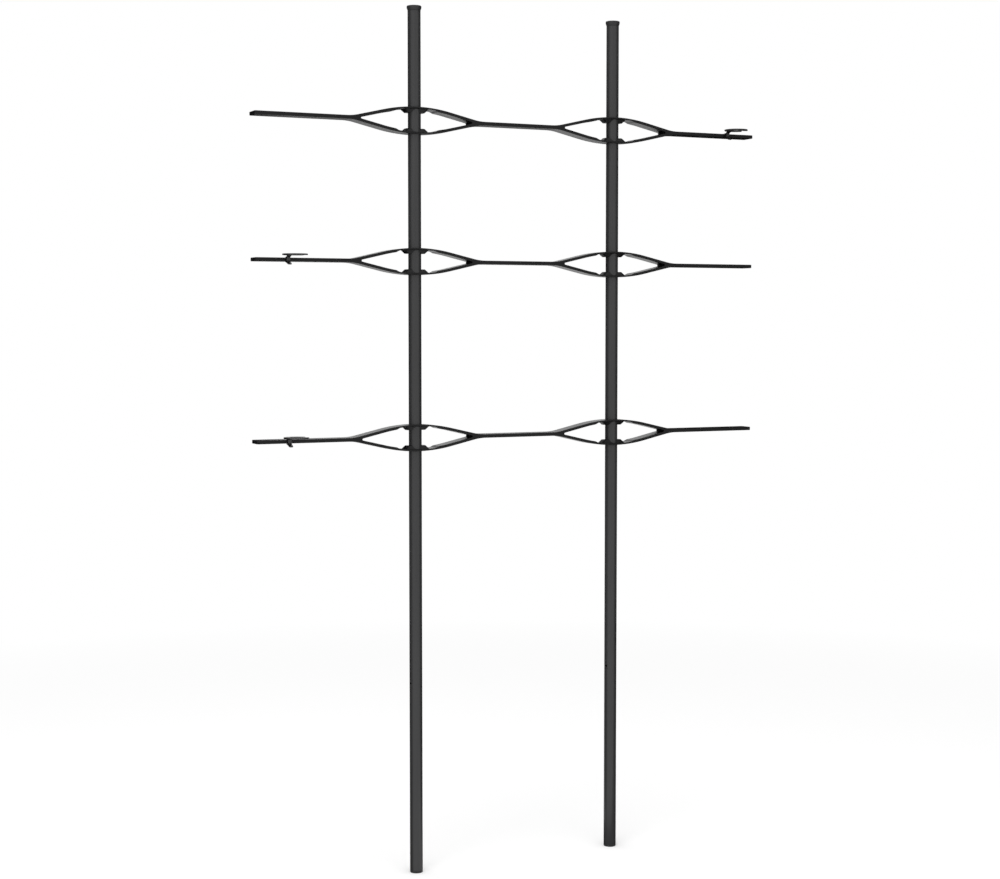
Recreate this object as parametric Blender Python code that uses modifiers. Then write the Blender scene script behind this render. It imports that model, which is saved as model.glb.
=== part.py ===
"""Garden trellis for a planter: two round posts, three crossbars that slide on them, three plant clips.

Metres, +Z up. The origin is on the ground, midway between the posts. The crossbars run along X and
the front, where the plant is tied, faces -Y. Every crossbar widens into a leaf-shaped eye round each
post. Inside an eye the bands grow thinner over the post, and each carries a tapered collar that the
post's bore breaks open, so that two jaws are left beside the post.
"""
import math

import bmesh
import bpy
from mathutils import Matrix, Vector

MM = 0.001

# Overall size
TRELLIS_HEIGHT = 1165.8 * MM
BAR_LENGTH = 750 * MM
POST_SPACING = 300 * MM
BAR_HEIGHTS = {"top": 1014.4 * MM, "middle": 828.2 * MM, "bottom": 592.9 * MM}
ASSEMBLY_GAP = 0.3 * MM

# Posts
TUBE_RADIUS = 8.65 * MM
TUBE_WALL = 1.2 * MM
TUBE_STEPS = 40
HOLE_DIAMETER = 3.8 * MM
HOLE_HEIGHT = 260.3 * MM
HOLE_TURN = {"left": math.radians(83), "right": math.radians(73.5)}
HOLE_STEPS = 16

# Caps and plugs that close the tubes
CAP_RADIUS = 9.8 * MM
CAP_RIM = 3.5 * MM
CAP_CONE = 3.0 * MM
CAP_EDGE_RADIUS = 1.2 * MM
CAP_CROWN = 0.25 * MM
CAP_ROOF = 2.0 * MM
PLUG_FLANGE = 2.5 * MM
PLUG_EDGE_RADIUS = 0.5 * MM
SPIGOT_LENGTH = 14 * MM
SPIGOT_WALL = 1.6 * MM
SPIGOT_CHAMFER = 0.6 * MM
CLOSURE_STEPS = 32
EDGE_ARC_STEPS = 3

# Crossbar arms
BAR_DEPTH = 22.4 * MM
ARM_THICKNESS = 4.9 * MM
EDGE_ROUNDING = 0.8 * MM
EDGE_ROUNDING_STEPS = 2

# Crossbar eyes
EYE_HALF_HEIGHT = 17.9 * MM
EYE_SLOPE = math.radians(13)
BAND_THICKNESS = 3.95 * MM
BAND_OVER_POST = 2.3 * MM
THIN_HALF_LENGTH = 25.0 * MM
RAMP_END = 31.5 * MM
WINDOW_HALF_LENGTH = 79.8 * MM
WINDOW_TIP_RADIUS = 1.3 * MM
JUNCTION_RADIUS = 70 * MM
BORE_RADIUS = TUBE_RADIUS + ASSEMBLY_GAP
BORE_STEPS = 40
CROWN_ARC_STEPS = 8
JUNCTION_ARC_STEPS = 3
TIP_ARC_STEPS = 6

# Tapered collars inside the eyes
COLLAR_ROOT = (37.0 * MM, 18.3 * MM)
COLLAR_TIP = (26.8 * MM, 11.6 * MM)
COLLAR_HEIGHT = 5.25 * MM
COLLAR_CORNER = 4.0 * MM
COLLAR_CORNER_STEPS = 3

# Plant clips, with corners given as (forwards from the bar's front, up from its centre line)
CLIP_PLACES = {"top": 330.1 * MM, "middle": -332.6 * MM, "bottom": -332.5 * MM}
CLIP_WIDTH = 5.0 * MM
JAW_DEPTH = 3.0 * MM
JAW_ROOT = 0.6 * MM
JAW_TIP = 0.35 * MM
LEG_BACK_AT_JAW = 1.6 * MM
LEG_BACK_AT_RING = 5.2 * MM
LEG_FRONT_AT_RING = 11.5 * MM
LEG_BROW = (6.6 * MM, 3.8 * MM)
WEB_TOP = (4.8 * MM, 2.6 * MM)
WEB_BOTTOM = (4.8 * MM, -1.5 * MM)
WEB_FILLET = 0.6 * MM
TAB_FRONT = (5.7 * MM, -3.2 * MM)
TAB_TIP = (11.5 * MM, -5.9 * MM)
TAB_END = (10.5 * MM, -6.9 * MM)
TAB_BELLY = (1.2 * MM, -4.0 * MM)
TAB_CORNER = 1.5 * MM
RING_UNDERSIDE = 5.0 * MM
RING_THICKNESS = 1.8 * MM
RING_RADIUS = 16.5 * MM
RING_HOLE_RADIUS = 8.8 * MM
RING_OFFSET = 3.4 * MM
RING_REACH = 20.5 * MM
RING_OPENING = math.radians(42)
RING_OPENING_TURN = math.radians(3.5)
RING_CORNER = 1.8 * MM
RING_STEPS = 36
FILLET_STEPS = 3

MERGE = 0.00001
SHARP_EDGE = math.radians(35)
COLLECTION = "garden_trellis"


def clear_scene():
    for obj in list(bpy.data.objects):
        bpy.data.objects.remove(obj)


def new_collection(name):
    collection = bpy.data.collections.new(name)
    bpy.context.scene.collection.children.link(collection)
    return collection


def new_material(name, color, roughness, metallic=0.0):
    material = bpy.data.materials.new(name)
    material.use_nodes = True
    shader = material.node_tree.nodes["Principled BSDF"]
    shader.inputs["Base Color"].default_value = (*color, 1.0)
    shader.inputs["Roughness"].default_value = roughness
    shader.inputs["Metallic"].default_value = metallic
    material.diffuse_color = (*color, 1.0)
    return material


def add_object(name, data, collection, parent=None, location=(0, 0, 0)):
    obj = bpy.data.objects.new(name, data)
    collection.objects.link(obj)
    obj.parent = parent
    obj.location = location
    return obj


def as_cutter(obj):
    obj.hide_render = True
    obj.display_type = "WIRE"
    return obj


def boolean(obj, operation, other):
    modifier = obj.modifiers.new(operation.lower(), "BOOLEAN")
    modifier.operation = operation
    modifier.object = other
    modifier.solver = "EXACT"


def evaluated_mesh(obj, name):
    """The object's shape with its modifiers, as a mesh of its own with welded vertices."""
    bpy.context.view_layer.update()
    graph = bpy.context.evaluated_depsgraph_get()
    mesh = bpy.data.meshes.new_from_object(obj.evaluated_get(graph), depsgraph=graph)
    mesh.name = name
    bm = bmesh.new()
    bm.from_mesh(mesh)
    bmesh.ops.remove_doubles(bm, verts=bm.verts, dist=MERGE)
    bm.to_mesh(mesh)
    bm.free()
    return mesh


def smooth(mesh):
    mesh.shade_smooth()
    mesh.set_sharp_from_angle(angle=SHARP_EDGE)


def filleted(corners):
    """A closed outline from corners (x, y, radius, steps), each rounded by an arc of that radius."""
    points = []
    count = len(corners)
    for index, (x, y, radius, steps) in enumerate(corners):
        corner = Vector((x, y))
        if not radius:
            points.append(corner)
            continue
        before = Vector(corners[index - 1][:2]) - corner
        after = Vector(corners[(index + 1) % count][:2]) - corner
        before.normalize()
        after.normalize()
        half_angle = before.angle(after) / 2
        centre = corner + (before + after).normalized() * (radius / math.sin(half_angle))
        start = corner + before * (radius / math.tan(half_angle)) - centre
        end = corner + after * (radius / math.tan(half_angle)) - centre
        turn = start.angle_signed(end)
        for step in range(steps + 1):
            arm = start.copy()
            arm.rotate(Matrix.Rotation(-turn * step / steps, 2))
            points.append(centre + arm)
    return points


def plate(name, outlines, thickness, collection):
    """A flat 2D curve with the given outlines, inner ones being holes, extruded both ways along Z."""
    curve = bpy.data.curves.new(name, "CURVE")
    curve.dimensions = "2D"
    curve.fill_mode = "BOTH"
    curve.extrude = thickness / 2
    for outline in outlines:
        spline = curve.splines.new("POLY")
        spline.points.add(len(outline) - 1)
        for point, (x, y) in zip(spline.points, outline):
            point.co = (x, y, 0, 1)
        spline.use_cyclic_u = True
    return add_object(name, curve, collection)


def mesh_from_curve(curve_object, collection):
    """Replaces a curve object by a mesh object at the same place, with its caps welded on."""
    name = curve_object.name
    mesh = evaluated_mesh(curve_object, name)
    matrix = curve_object.matrix_world.copy()
    bpy.data.objects.remove(curve_object)
    obj = add_object(name, mesh, collection)
    obj.matrix_world = matrix
    return obj


def turned(name, profile, steps, material, collection, location):
    """A turned piece from a profile of (radius, height), run down its outer side, on the Z axis."""
    mesh = bpy.data.meshes.new(name)
    closed = profile[0] == profile[-1]
    points = profile[:-1] if closed else profile
    edges = [(i, i + 1) for i in range(len(points) - 1)]
    if closed:
        edges.append((len(points) - 1, 0))
    mesh.from_pydata([(r, 0, z) for r, z in points], edges, [])
    mesh.materials.append(material)
    obj = add_object(name, mesh, collection, location=location)
    screw = obj.modifiers.new("turn", "SCREW")
    screw.axis = "Z"
    screw.steps = steps
    screw.render_steps = steps
    screw.use_merge_vertices = True
    screw.merge_threshold = MERGE
    screw.use_smooth_shade = True
    return obj


def quarter_arc(centre_r, centre_z, radius, start, steps=EDGE_ARC_STEPS):
    """Points of a quarter circle that turns clockwise from the start angle, for a turned profile."""
    points = []
    for step in range(steps + 1):
        angle = start - math.pi / 2 * step / steps
        points.append((centre_r + radius * math.cos(angle), centre_z + radius * math.sin(angle)))
    return points


def build_post(side, place, materials, collection, cutters):
    """An aluminium tube between its plug and its cap, with one small hole low on its left side."""
    top = TRELLIS_HEIGHT - CAP_RIM - CAP_CONE - ASSEMBLY_GAP
    bottom = PLUG_FLANGE + ASSEMBLY_GAP
    inner = TUBE_RADIUS - TUBE_WALL
    profile = [(TUBE_RADIUS, top), (TUBE_RADIUS, bottom), (inner, bottom), (inner, top), (TUBE_RADIUS, top)]
    post = turned(f"post_{side}", profile, TUBE_STEPS, materials["tube"], collection, (place, 0, 0))

    outwards = Vector((-math.sin(HOLE_TURN[side]), -math.cos(HOLE_TURN[side]), 0))
    drill = bmesh.new()
    bmesh.ops.create_cone(drill, cap_ends=True, segments=HOLE_STEPS, radius1=HOLE_DIAMETER / 2,
                          radius2=HOLE_DIAMETER / 2, depth=TUBE_RADIUS)
    mesh = bpy.data.meshes.new(f"pin_hole_{side}")
    drill.to_mesh(mesh)
    drill.free()
    cutter = as_cutter(add_object(mesh.name, mesh, cutters))
    cutter.rotation_euler = outwards.to_track_quat("Z", "Y").to_euler()
    cutter.location = Vector((place, 0, HOLE_HEIGHT)) + outwards * TUBE_RADIUS
    boolean(post, "DIFFERENCE", cutter)
    return post


def build_top_cap(side, place, materials, collection):
    """A push-in cap: a rim wider than the tube, a cone down to it, and a hollow spigot inside it."""
    spigot = TUBE_RADIUS - TUBE_WALL - ASSEMBLY_GAP
    bore = spigot - SPIGOT_WALL
    seat = -CAP_RIM - CAP_CONE
    foot = seat - SPIGOT_LENGTH
    profile = [(0, 0)]
    profile += quarter_arc(CAP_RADIUS - CAP_EDGE_RADIUS, -CAP_CROWN - CAP_EDGE_RADIUS, CAP_EDGE_RADIUS,
                           math.pi / 2)
    profile += [
        (CAP_RADIUS, -CAP_RIM),
        (TUBE_RADIUS, seat),
        (spigot, seat),
        (spigot, foot + SPIGOT_CHAMFER),
        (spigot - SPIGOT_CHAMFER, foot),
        (bore, foot),
        (bore, -CAP_ROOF),
        (0, -CAP_ROOF),
    ]
    return turned(f"top_cap_{side}", profile, CLOSURE_STEPS, materials["cap"], collection,
                  (place, 0, TRELLIS_HEIGHT))


def build_bottom_plug(side, place, materials, collection):
    """A push-in plug: a flange flush with the tube, flat underneath, and a hollow spigot inside it."""
    spigot = TUBE_RADIUS - TUBE_WALL - ASSEMBLY_GAP
    bore = spigot - SPIGOT_WALL
    head = PLUG_FLANGE + SPIGOT_LENGTH
    profile = [
        (0, PLUG_FLANGE),
        (bore, PLUG_FLANGE),
        (bore, head),
        (spigot - SPIGOT_CHAMFER, head),
        (spigot, head - SPIGOT_CHAMFER),
        (spigot, PLUG_FLANGE),
        (TUBE_RADIUS, PLUG_FLANGE),
    ]
    profile += quarter_arc(TUBE_RADIUS - PLUG_EDGE_RADIUS, PLUG_EDGE_RADIUS, PLUG_EDGE_RADIUS, 0)
    profile.append((0, 0))
    return turned(f"bottom_plug_{side}", profile, CLOSURE_STEPS, materials["cap"], collection,
                  (place, 0, 0))


def eye_lines():
    """Heights over the post centre of the straight band edges, outer and inner, if they met there."""
    apex = WINDOW_HALF_LENGTH + WINDOW_TIP_RADIUS * (1 / math.sin(EYE_SLOPE) - 1)
    inner = apex * math.tan(EYE_SLOPE)
    outer = inner + BAND_THICKNESS / math.cos(EYE_SLOPE)
    return apex, inner, outer


def crown_radius():
    """Radius of the outer arc over the post, tangent to both straight band edges."""
    outer = eye_lines()[2]
    return (outer - EYE_HALF_HEIGHT) / (1 / math.cos(EYE_SLOPE) - 1)


def bar_outline():
    """The crossbar seen from the front: flat arms, and a leaf-shaped eye over each post."""
    outer = eye_lines()[2]
    junction = (outer - ARM_THICKNESS / 2) / math.tan(EYE_SLOPE)
    top = []
    for centre in (-POST_SPACING / 2, POST_SPACING / 2):
        top += [
            (centre - junction, ARM_THICKNESS / 2, JUNCTION_RADIUS, JUNCTION_ARC_STEPS),
            (centre, outer, crown_radius(), CROWN_ARC_STEPS),
            (centre + junction, ARM_THICKNESS / 2, JUNCTION_RADIUS, JUNCTION_ARC_STEPS),
        ]
    ends = [(-BAR_LENGTH / 2, ARM_THICKNESS / 2, 0, 0)], [(BAR_LENGTH / 2, ARM_THICKNESS / 2, 0, 0)]
    upper = ends[0] + top + ends[1]
    lower = [(x, -y, radius, steps) for x, y, radius, steps in reversed(upper)]
    return filleted(upper + lower)


def window_outline(centre):
    """The opening of one eye: pointed ends, and bands that grow thinner close to the post."""
    apex, inner, _ = eye_lines()
    thick = crown_radius() - BAND_THICKNESS
    thin = crown_radius() - BAND_OVER_POST
    middle = EYE_HALF_HEIGHT - crown_radius()

    def height(radius, distance):
        return middle + math.sqrt(radius ** 2 - distance ** 2)

    tangent = thick * math.sin(EYE_SLOPE)
    half = []
    tip = apex - WINDOW_TIP_RADIUS / math.sin(EYE_SLOPE)
    turn = math.pi / 2 - EYE_SLOPE
    for step in range(TIP_ARC_STEPS // 2 + 1):
        angle = turn * step / (TIP_ARC_STEPS // 2)
        half.append((tip + WINDOW_TIP_RADIUS * math.cos(angle), WINDOW_TIP_RADIUS * math.sin(angle)))
    for step in range(3):
        distance = tangent + (RAMP_END - tangent) * step / 2
        half.append((distance, height(thick, distance)))
    for step in range(CROWN_ARC_STEPS // 2):
        distance = THIN_HALF_LENGTH * (1 - 2 * step / CROWN_ARC_STEPS)
        half.append((distance, height(thin, distance)))
    half.append((0, height(thin, 0)))
    quarter_left = [(-x, y) for x, y in reversed(half[:-1])]
    upper = half + quarter_left
    lower = [(x, -y) for x, y in reversed(upper[1:-1])]
    return [(centre + x, y) for x, y in upper + lower]


def collar_block(up):
    """A tapered block with rounded corners, its wide root in the band and its narrow end towards Z 0."""
    root = EYE_HALF_HEIGHT - BAND_OVER_POST / 2
    end = EYE_HALF_HEIGHT - BAND_OVER_POST - COLLAR_HEIGHT
    bm = bmesh.new()
    bmesh.ops.create_cube(bm, size=1)
    for vert in bm.verts:
        wide, deep = COLLAR_ROOT if vert.co.z > 0 else COLLAR_TIP
        vert.co = (
            math.copysign(wide / 2, vert.co.x),
            math.copysign(deep / 2, vert.co.y),
            root if vert.co.z > 0 else end,
        )
    slanted = [edge for edge in bm.edges if abs(edge.verts[0].co.z - edge.verts[1].co.z) > MERGE]
    bmesh.ops.bevel(bm, geom=slanted, offset=COLLAR_CORNER, segments=COLLAR_CORNER_STEPS,
                    profile=0.5, affect="EDGES")
    if not up:
        bmesh.ops.rotate(bm, verts=bm.verts, matrix=Matrix.Rotation(math.pi, 3, "X"))
    return bm


def gathered(name, pieces, collection):
    """One cutter object from several bmesh shapes, each moved by its own offset."""
    joined = bmesh.new()
    for bm, offset in pieces:
        bmesh.ops.translate(bm, verts=bm.verts, vec=offset)
        part = bpy.data.meshes.new(name)
        bm.to_mesh(part)
        bm.free()
        joined.from_mesh(part)
        bpy.data.meshes.remove(part)
    mesh = bpy.data.meshes.new(name)
    joined.to_mesh(mesh)
    joined.free()
    return as_cutter(add_object(name, mesh, collection))


def post_bore():
    bm = bmesh.new()
    bmesh.ops.create_cone(bm, cap_ends=True, segments=BORE_STEPS, radius1=BORE_RADIUS,
                          radius2=BORE_RADIUS, depth=EYE_HALF_HEIGHT * 3)
    return bm


def crossbar_mesh(material, collection, cutters):
    """The moulded crossbar at Z 0: rounded outline with two windows, four collars and two bores."""
    centres = (-POST_SPACING / 2, POST_SPACING / 2)
    outlines = [bar_outline()] + [window_outline(centre) for centre in centres]
    bar = plate("crossbar", outlines, BAR_DEPTH, collection)
    bar.rotation_euler = (math.pi / 2, 0, 0)
    bpy.context.view_layer.update()
    bar = mesh_from_curve(bar, collection)
    bar.data.transform(bar.matrix_world)
    bar.matrix_world = Matrix.Identity(4)
    bar.data.materials.clear()
    bar.data.materials.append(material)

    bevel = bar.modifiers.new("round_edges", "BEVEL")
    bevel.width = EDGE_ROUNDING
    bevel.segments = EDGE_ROUNDING_STEPS
    bevel.limit_method = "ANGLE"
    bevel.angle_limit = math.radians(60)
    collars = [(collar_block(up), (centre, 0, 0)) for centre in centres for up in (True, False)]
    boolean(bar, "UNION", gathered("collars", collars, cutters))
    bores = [(post_bore(), (centre, 0, 0)) for centre in centres]
    boolean(bar, "DIFFERENCE", gathered("post_bores", bores, cutters))

    mesh = evaluated_mesh(bar, "crossbar")
    bpy.data.objects.remove(bar)
    smooth(mesh)
    return mesh


def strap_outline():
    """The clip's strap from the side, as (forwards from the bar's front, up): jaws, web, leg, tab."""
    reach = ARM_THICKNESS / 2 + ASSEMBLY_GAP
    ring_middle = RING_UNDERSIDE + RING_THICKNESS / 2
    corners = [
        (-JAW_DEPTH, reach, 0, 0),
        (-JAW_DEPTH, reach + JAW_TIP, 0, 0),
        (LEG_BACK_AT_JAW, reach + JAW_ROOT, 0, 0),
        (LEG_BACK_AT_RING, RING_UNDERSIDE, 0, 0),
        (LEG_BACK_AT_RING, ring_middle, 0, 0),
        (LEG_FRONT_AT_RING, ring_middle, 0, 0),
        (LEG_FRONT_AT_RING, RING_UNDERSIDE, 0, 0),
        (*LEG_BROW, 0, 0),
        (*WEB_TOP, WEB_FILLET, FILLET_STEPS),
        (*WEB_BOTTOM, WEB_FILLET, FILLET_STEPS),
        (*TAB_FRONT, WEB_FILLET, FILLET_STEPS),
        (*TAB_TIP, 0, 0),
        (*TAB_END, 0, 0),
        (*TAB_BELLY, 0, 0),
        (-JAW_DEPTH, -reach - JAW_TIP, 0, 0),
        (-JAW_DEPTH, -reach, 0, 0),
        (ASSEMBLY_GAP, -reach, 0, 0),
        (ASSEMBLY_GAP, reach, 0, 0),
    ]
    return filleted(corners)


def round_tab(mesh):
    """Rounds the free end of the tab across its width."""
    bm = bmesh.new()
    bm.from_mesh(mesh)
    end = [Vector(TAB_TIP), Vector(TAB_END)]

    def at_end(vert):
        return any((vert.co.xy - corner).length < MERGE for corner in end)

    corners = [edge for edge in bm.edges
               if at_end(edge.verts[0]) and at_end(edge.verts[1])
               and abs(edge.verts[0].co.z - edge.verts[1].co.z) < MERGE]
    bmesh.ops.bevel(bm, geom=corners, offset=TAB_CORNER, segments=FILLET_STEPS,
                    profile=0.5, affect="EDGES")
    bm.to_mesh(mesh)
    bm.free()


def ring_outline():
    """The open ring from above: a wide C with rounded ends, its mouth towards +X."""
    half = RING_OPENING / 2
    outer = []
    inner = []
    for step in range(RING_STEPS + 1):
        angle = RING_OPENING_TURN + half + (2 * math.pi - RING_OPENING) * step / RING_STEPS
        outer.append((RING_RADIUS * math.cos(angle), RING_RADIUS * math.sin(angle), 0, 0))
        inner.append((RING_HOLE_RADIUS * math.cos(angle), RING_HOLE_RADIUS * math.sin(angle), 0, 0))
    for line in (outer, inner):
        for end in (0, -1):
            x, y = line[end][:2]
            line[end] = (x, y, RING_CORNER, FILLET_STEPS)
        del line[1], line[-2]
    return filleted(outer + inner[::-1])


def clip_mesh(material, collection):
    """The moulded plant clip at its place on a bar whose centre line is the X axis."""
    front = -BAR_DEPTH / 2
    strap = plate("clip_strap", [strap_outline()], CLIP_WIDTH, collection)
    strap.matrix_world = Matrix((
        (0, 0, -1, 0),
        (-1, 0, 0, front),
        (0, 1, 0, 0),
        (0, 0, 0, 1),
    ))
    bpy.context.view_layer.update()
    strap = mesh_from_curve(strap, collection)
    round_tab(strap.data)
    ring = plate("clip_ring", [ring_outline()], RING_THICKNESS, collection)
    ring.location = (RING_OFFSET, front - RING_REACH, RING_UNDERSIDE + RING_THICKNESS / 2)
    bpy.context.view_layer.update()
    ring = mesh_from_curve(ring, collection)
    for obj in (strap, ring):
        obj.data.transform(obj.matrix_world)
        obj.matrix_world = Matrix.Identity(4)
        obj.data.materials.clear()
        obj.data.materials.append(material)
    boolean(ring, "UNION", strap)
    mesh = evaluated_mesh(ring, "plant_clip")
    bpy.data.objects.remove(ring)
    bpy.data.objects.remove(strap)
    smooth(mesh)
    return mesh


def main():
    clear_scene()
    parts = new_collection(COLLECTION)
    cutters = new_collection("cutters")
    materials = {
        "tube": new_material("anthracite_coated_tube", (0.055, 0.055, 0.056), 0.42, 0.3),
        "cap": new_material("charcoal_cap_plastic", (0.035, 0.035, 0.036), 0.5),
        "bar": new_material("black_moulded_bar", (0.012, 0.012, 0.013), 0.38),
        "clip": new_material("black_moulded_clip", (0.014, 0.014, 0.015), 0.42),
    }
    for side, place in (("left", -POST_SPACING / 2), ("right", POST_SPACING / 2)):
        build_post(side, place, materials, parts, cutters)
        build_top_cap(side, place, materials, parts)
        build_bottom_plug(side, place, materials, parts)

    bar_mesh = crossbar_mesh(materials["bar"], parts, cutters)
    clip = clip_mesh(materials["clip"], parts)
    for level, height in BAR_HEIGHTS.items():
        bar_slide = add_object(f"crossbar_{level}_slide", None, parts, location=(0, 0, height))
        add_object(f"crossbar_{level}", bar_mesh, parts, parent=bar_slide)
        clip_slide = add_object(f"plant_clip_{level}_slide", None, parts, parent=bar_slide,
                                location=(CLIP_PLACES[level], 0, 0))
        add_object(f"plant_clip_{level}", clip, parts, parent=clip_slide)


main()
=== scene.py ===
"""Planter trellis: the finished surfaces of its pieces, and the studio they stand in.

Two coated posts carry three moulded crossbars, which slide up and down on them. On each crossbar
rides a plant clip, which slides along one arm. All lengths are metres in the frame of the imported
model: the origin lies on the ground midway between the posts, X runs along the crossbars, and the
front, where the clips stand out, faces -Y.
"""

import logging
import math
from collections.abc import Sequence
from dataclasses import dataclass, field
from enum import Enum

import bmesh
import bpy
from mathutils import Matrix, Vector
from mathutils.geometry import tessellate_polygon

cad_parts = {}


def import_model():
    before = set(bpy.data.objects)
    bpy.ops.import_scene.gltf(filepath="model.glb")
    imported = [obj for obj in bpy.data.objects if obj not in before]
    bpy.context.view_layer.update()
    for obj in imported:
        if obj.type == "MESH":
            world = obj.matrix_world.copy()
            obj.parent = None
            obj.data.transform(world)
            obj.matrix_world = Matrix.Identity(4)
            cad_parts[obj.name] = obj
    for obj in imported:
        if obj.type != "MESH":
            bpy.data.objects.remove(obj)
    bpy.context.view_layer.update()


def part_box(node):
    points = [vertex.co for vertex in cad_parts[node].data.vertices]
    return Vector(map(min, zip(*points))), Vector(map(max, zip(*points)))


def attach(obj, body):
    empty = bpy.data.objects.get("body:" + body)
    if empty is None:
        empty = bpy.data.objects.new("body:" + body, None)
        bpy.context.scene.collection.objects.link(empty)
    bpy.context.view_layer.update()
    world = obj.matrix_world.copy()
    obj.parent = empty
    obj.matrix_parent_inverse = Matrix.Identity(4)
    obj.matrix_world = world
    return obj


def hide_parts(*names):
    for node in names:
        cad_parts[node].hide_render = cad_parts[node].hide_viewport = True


LOG = logging.getLogger("trellis")
MM = 0.001
WELD = 1e-6
QUARTER = math.pi / 2
WHITE = (1.0, 1.0, 1.0)
# The places of a Mix node's colour sockets
MIX_AMOUNT, MIX_FIRST, MIX_SECOND, MIX_RESULT = 0, 6, 7, 2
Color = tuple[float, float, float]
Outline = list[Vector]
Profile = list[tuple[float, float]]
Node = bpy.types.Node
Socket = bpy.types.NodeSocket
Solid = bmesh.types.BMesh
Vert = bmesh.types.BMVert


class Side(Enum):
    """The two posts, as seen from the front."""

    LEFT = "left"
    RIGHT = "right"


class Level(Enum):
    """The three crossbars, from the top down."""

    TOP = "top"
    MIDDLE = "middle"
    BOTTOM = "bottom"


class Join(Enum):
    """How one solid is combined with another."""

    UNION = "UNION"
    DIFFERENCE = "DIFFERENCE"


def added(name: str, data: bpy.types.ID) -> bpy.types.Object:
    """Make an object and put it in the scene.

    Args:
        name: The object's name.
        data: Its mesh, lamp or camera.

    Returns:
        The object.
    """
    obj = bpy.data.objects.new(name, data)
    bpy.context.scene.collection.objects.link(obj)
    return obj


# Materials


class NodeBoard:
    """A material's or a world's node tree, with short calls to add and link nodes."""

    def __init__(self, tree: bpy.types.NodeTree) -> None:
        """Start from an empty tree.

        Args:
            tree: The node tree to fill.
        """
        self.tree = tree
        self.tree.nodes.clear()

    def add(self, kind: str, **settings: object) -> Node:
        """Add a node and set its properties.

        Args:
            kind: The node's type name, such as ShaderNodeTexNoise.
            **settings: Values by property name.

        Returns:
            The new node.
        """
        node = self.tree.nodes.new(kind)
        for name, value in settings.items():
            setattr(node, name, value)
        return node

    def put(self, socket: Socket, value: object) -> None:
        """Fill one input.

        Args:
            socket: The input.
            value: A socket to link to it, a number or vector to set, or a colour without its alpha.
        """
        if isinstance(value, Socket):
            self.tree.links.new(value, socket)
        elif socket.type == "RGBA":
            socket.default_value = (*value, 1.0)
        else:
            socket.default_value = value

    def feed(self, node: Node, **inputs: object) -> Node:
        """Set or link a node's inputs.

        Args:
            node: The node to feed.
            **inputs: What each input gets, by its name with underscores for spaces.

        Returns:
            The same node.
        """
        for name, value in inputs.items():
            self.put(node.inputs[name.replace("_", " ")], value)
        return node

    def join(self, kind: str, *inputs: object, **settings: object) -> Node:
        """Add a node and feed its inputs in their own order.

        Args:
            kind: The node's type name.
            *inputs: What the first input gets, then the second, and so on.
            **settings: Values by property name.

        Returns:
            The new node.
        """
        node = self.add(kind, **settings)
        for socket, value in zip(node.inputs, inputs):
            self.put(socket, value)
        return node

    def maths(self, operation: str, first: Socket, second: Socket | float) -> Socket:
        """The outcome of a Math node on two values."""
        return self.join("ShaderNodeMath", first, second, operation=operation).outputs[0]

    def show(self, surface: Socket, kind: str = "ShaderNodeOutputMaterial") -> None:
        """Make a shader the tree's surface."""
        self.feed(self.add(kind), Surface=surface)

    def noise(self, where: Socket, scale: float, detail: float = 2.0) -> Socket:
        """Add a noise texture.

        Args:
            where: The coordinates it is read at.
            scale: Features to the metre.
            detail: How many finer layers it has.

        Returns:
            Its grey value.
        """
        texture = self.feed(self.add("ShaderNodeTexNoise"), Vector=where, Scale=scale, Detail=detail)
        return texture.outputs["Fac"]

    def spread(self, value: Socket, low: float, high: float,
               span: tuple[float, float] = (0.3, 0.7)) -> Socket:
        """Map a grey value to a range.

        Args:
            value: The value to map.
            low: What the low end becomes.
            high: What the high end becomes.
            span: The two ends of the incoming value.

        Returns:
            The mapped value.
        """
        node = self.feed(self.add("ShaderNodeMapRange"), Value=value, From_Min=span[0], From_Max=span[1],
                         To_Min=low, To_Max=high)
        return node.outputs["Result"]

    def tint(self, amount: Socket, first: Color | Socket, second: Color) -> Socket:
        """Mix two colours.

        Args:
            amount: How much of the second one there is.
            first: The colour at 0.
            second: The colour at 1.

        Returns:
            The mixed colour.
        """
        mix = self.add("ShaderNodeMix", data_type="RGBA")
        self.put(mix.inputs[MIX_AMOUNT], amount)
        self.put(mix.inputs[MIX_FIRST], first)
        self.put(mix.inputs[MIX_SECOND], second)
        return mix.outputs[MIX_RESULT]

    def bump(self, height: Socket, depth: float, under: Socket | None = None) -> Socket:
        """Add a bump.

        Args:
            height: The relief as a grey value.
            depth: The relief's real depth.
            under: The normal of a coarser relief that this one lies on.

        Returns:
            The bumped normal.
        """
        node = self.feed(self.add("ShaderNodeBump"), Height=height, Distance=depth, Strength=1.0)
        if under is not None:
            self.feed(node, Normal=under)
        return node.outputs["Normal"]

    def looking_rays(self) -> Socket:
        """Tell the rays that look at a surface from the rays that light one.

        Returns:
            1 for camera, glossy and transmission rays, and 0 for the others.
        """
        rays = self.add("ShaderNodeLightPath").outputs
        seen = self.maths("MAXIMUM", rays["Is Camera Ray"], rays["Is Glossy Ray"])
        return self.maths("MAXIMUM", seen, rays["Is Transmission Ray"])


def blank_material(name: str) -> tuple[bpy.types.Material, NodeBoard]:
    """Make a material with an empty node board.

    Args:
        name: The material's name.

    Returns:
        The material and its board.
    """
    material = bpy.data.materials.new(name)
    material.use_nodes = True
    return material, NodeBoard(material.node_tree)


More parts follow.
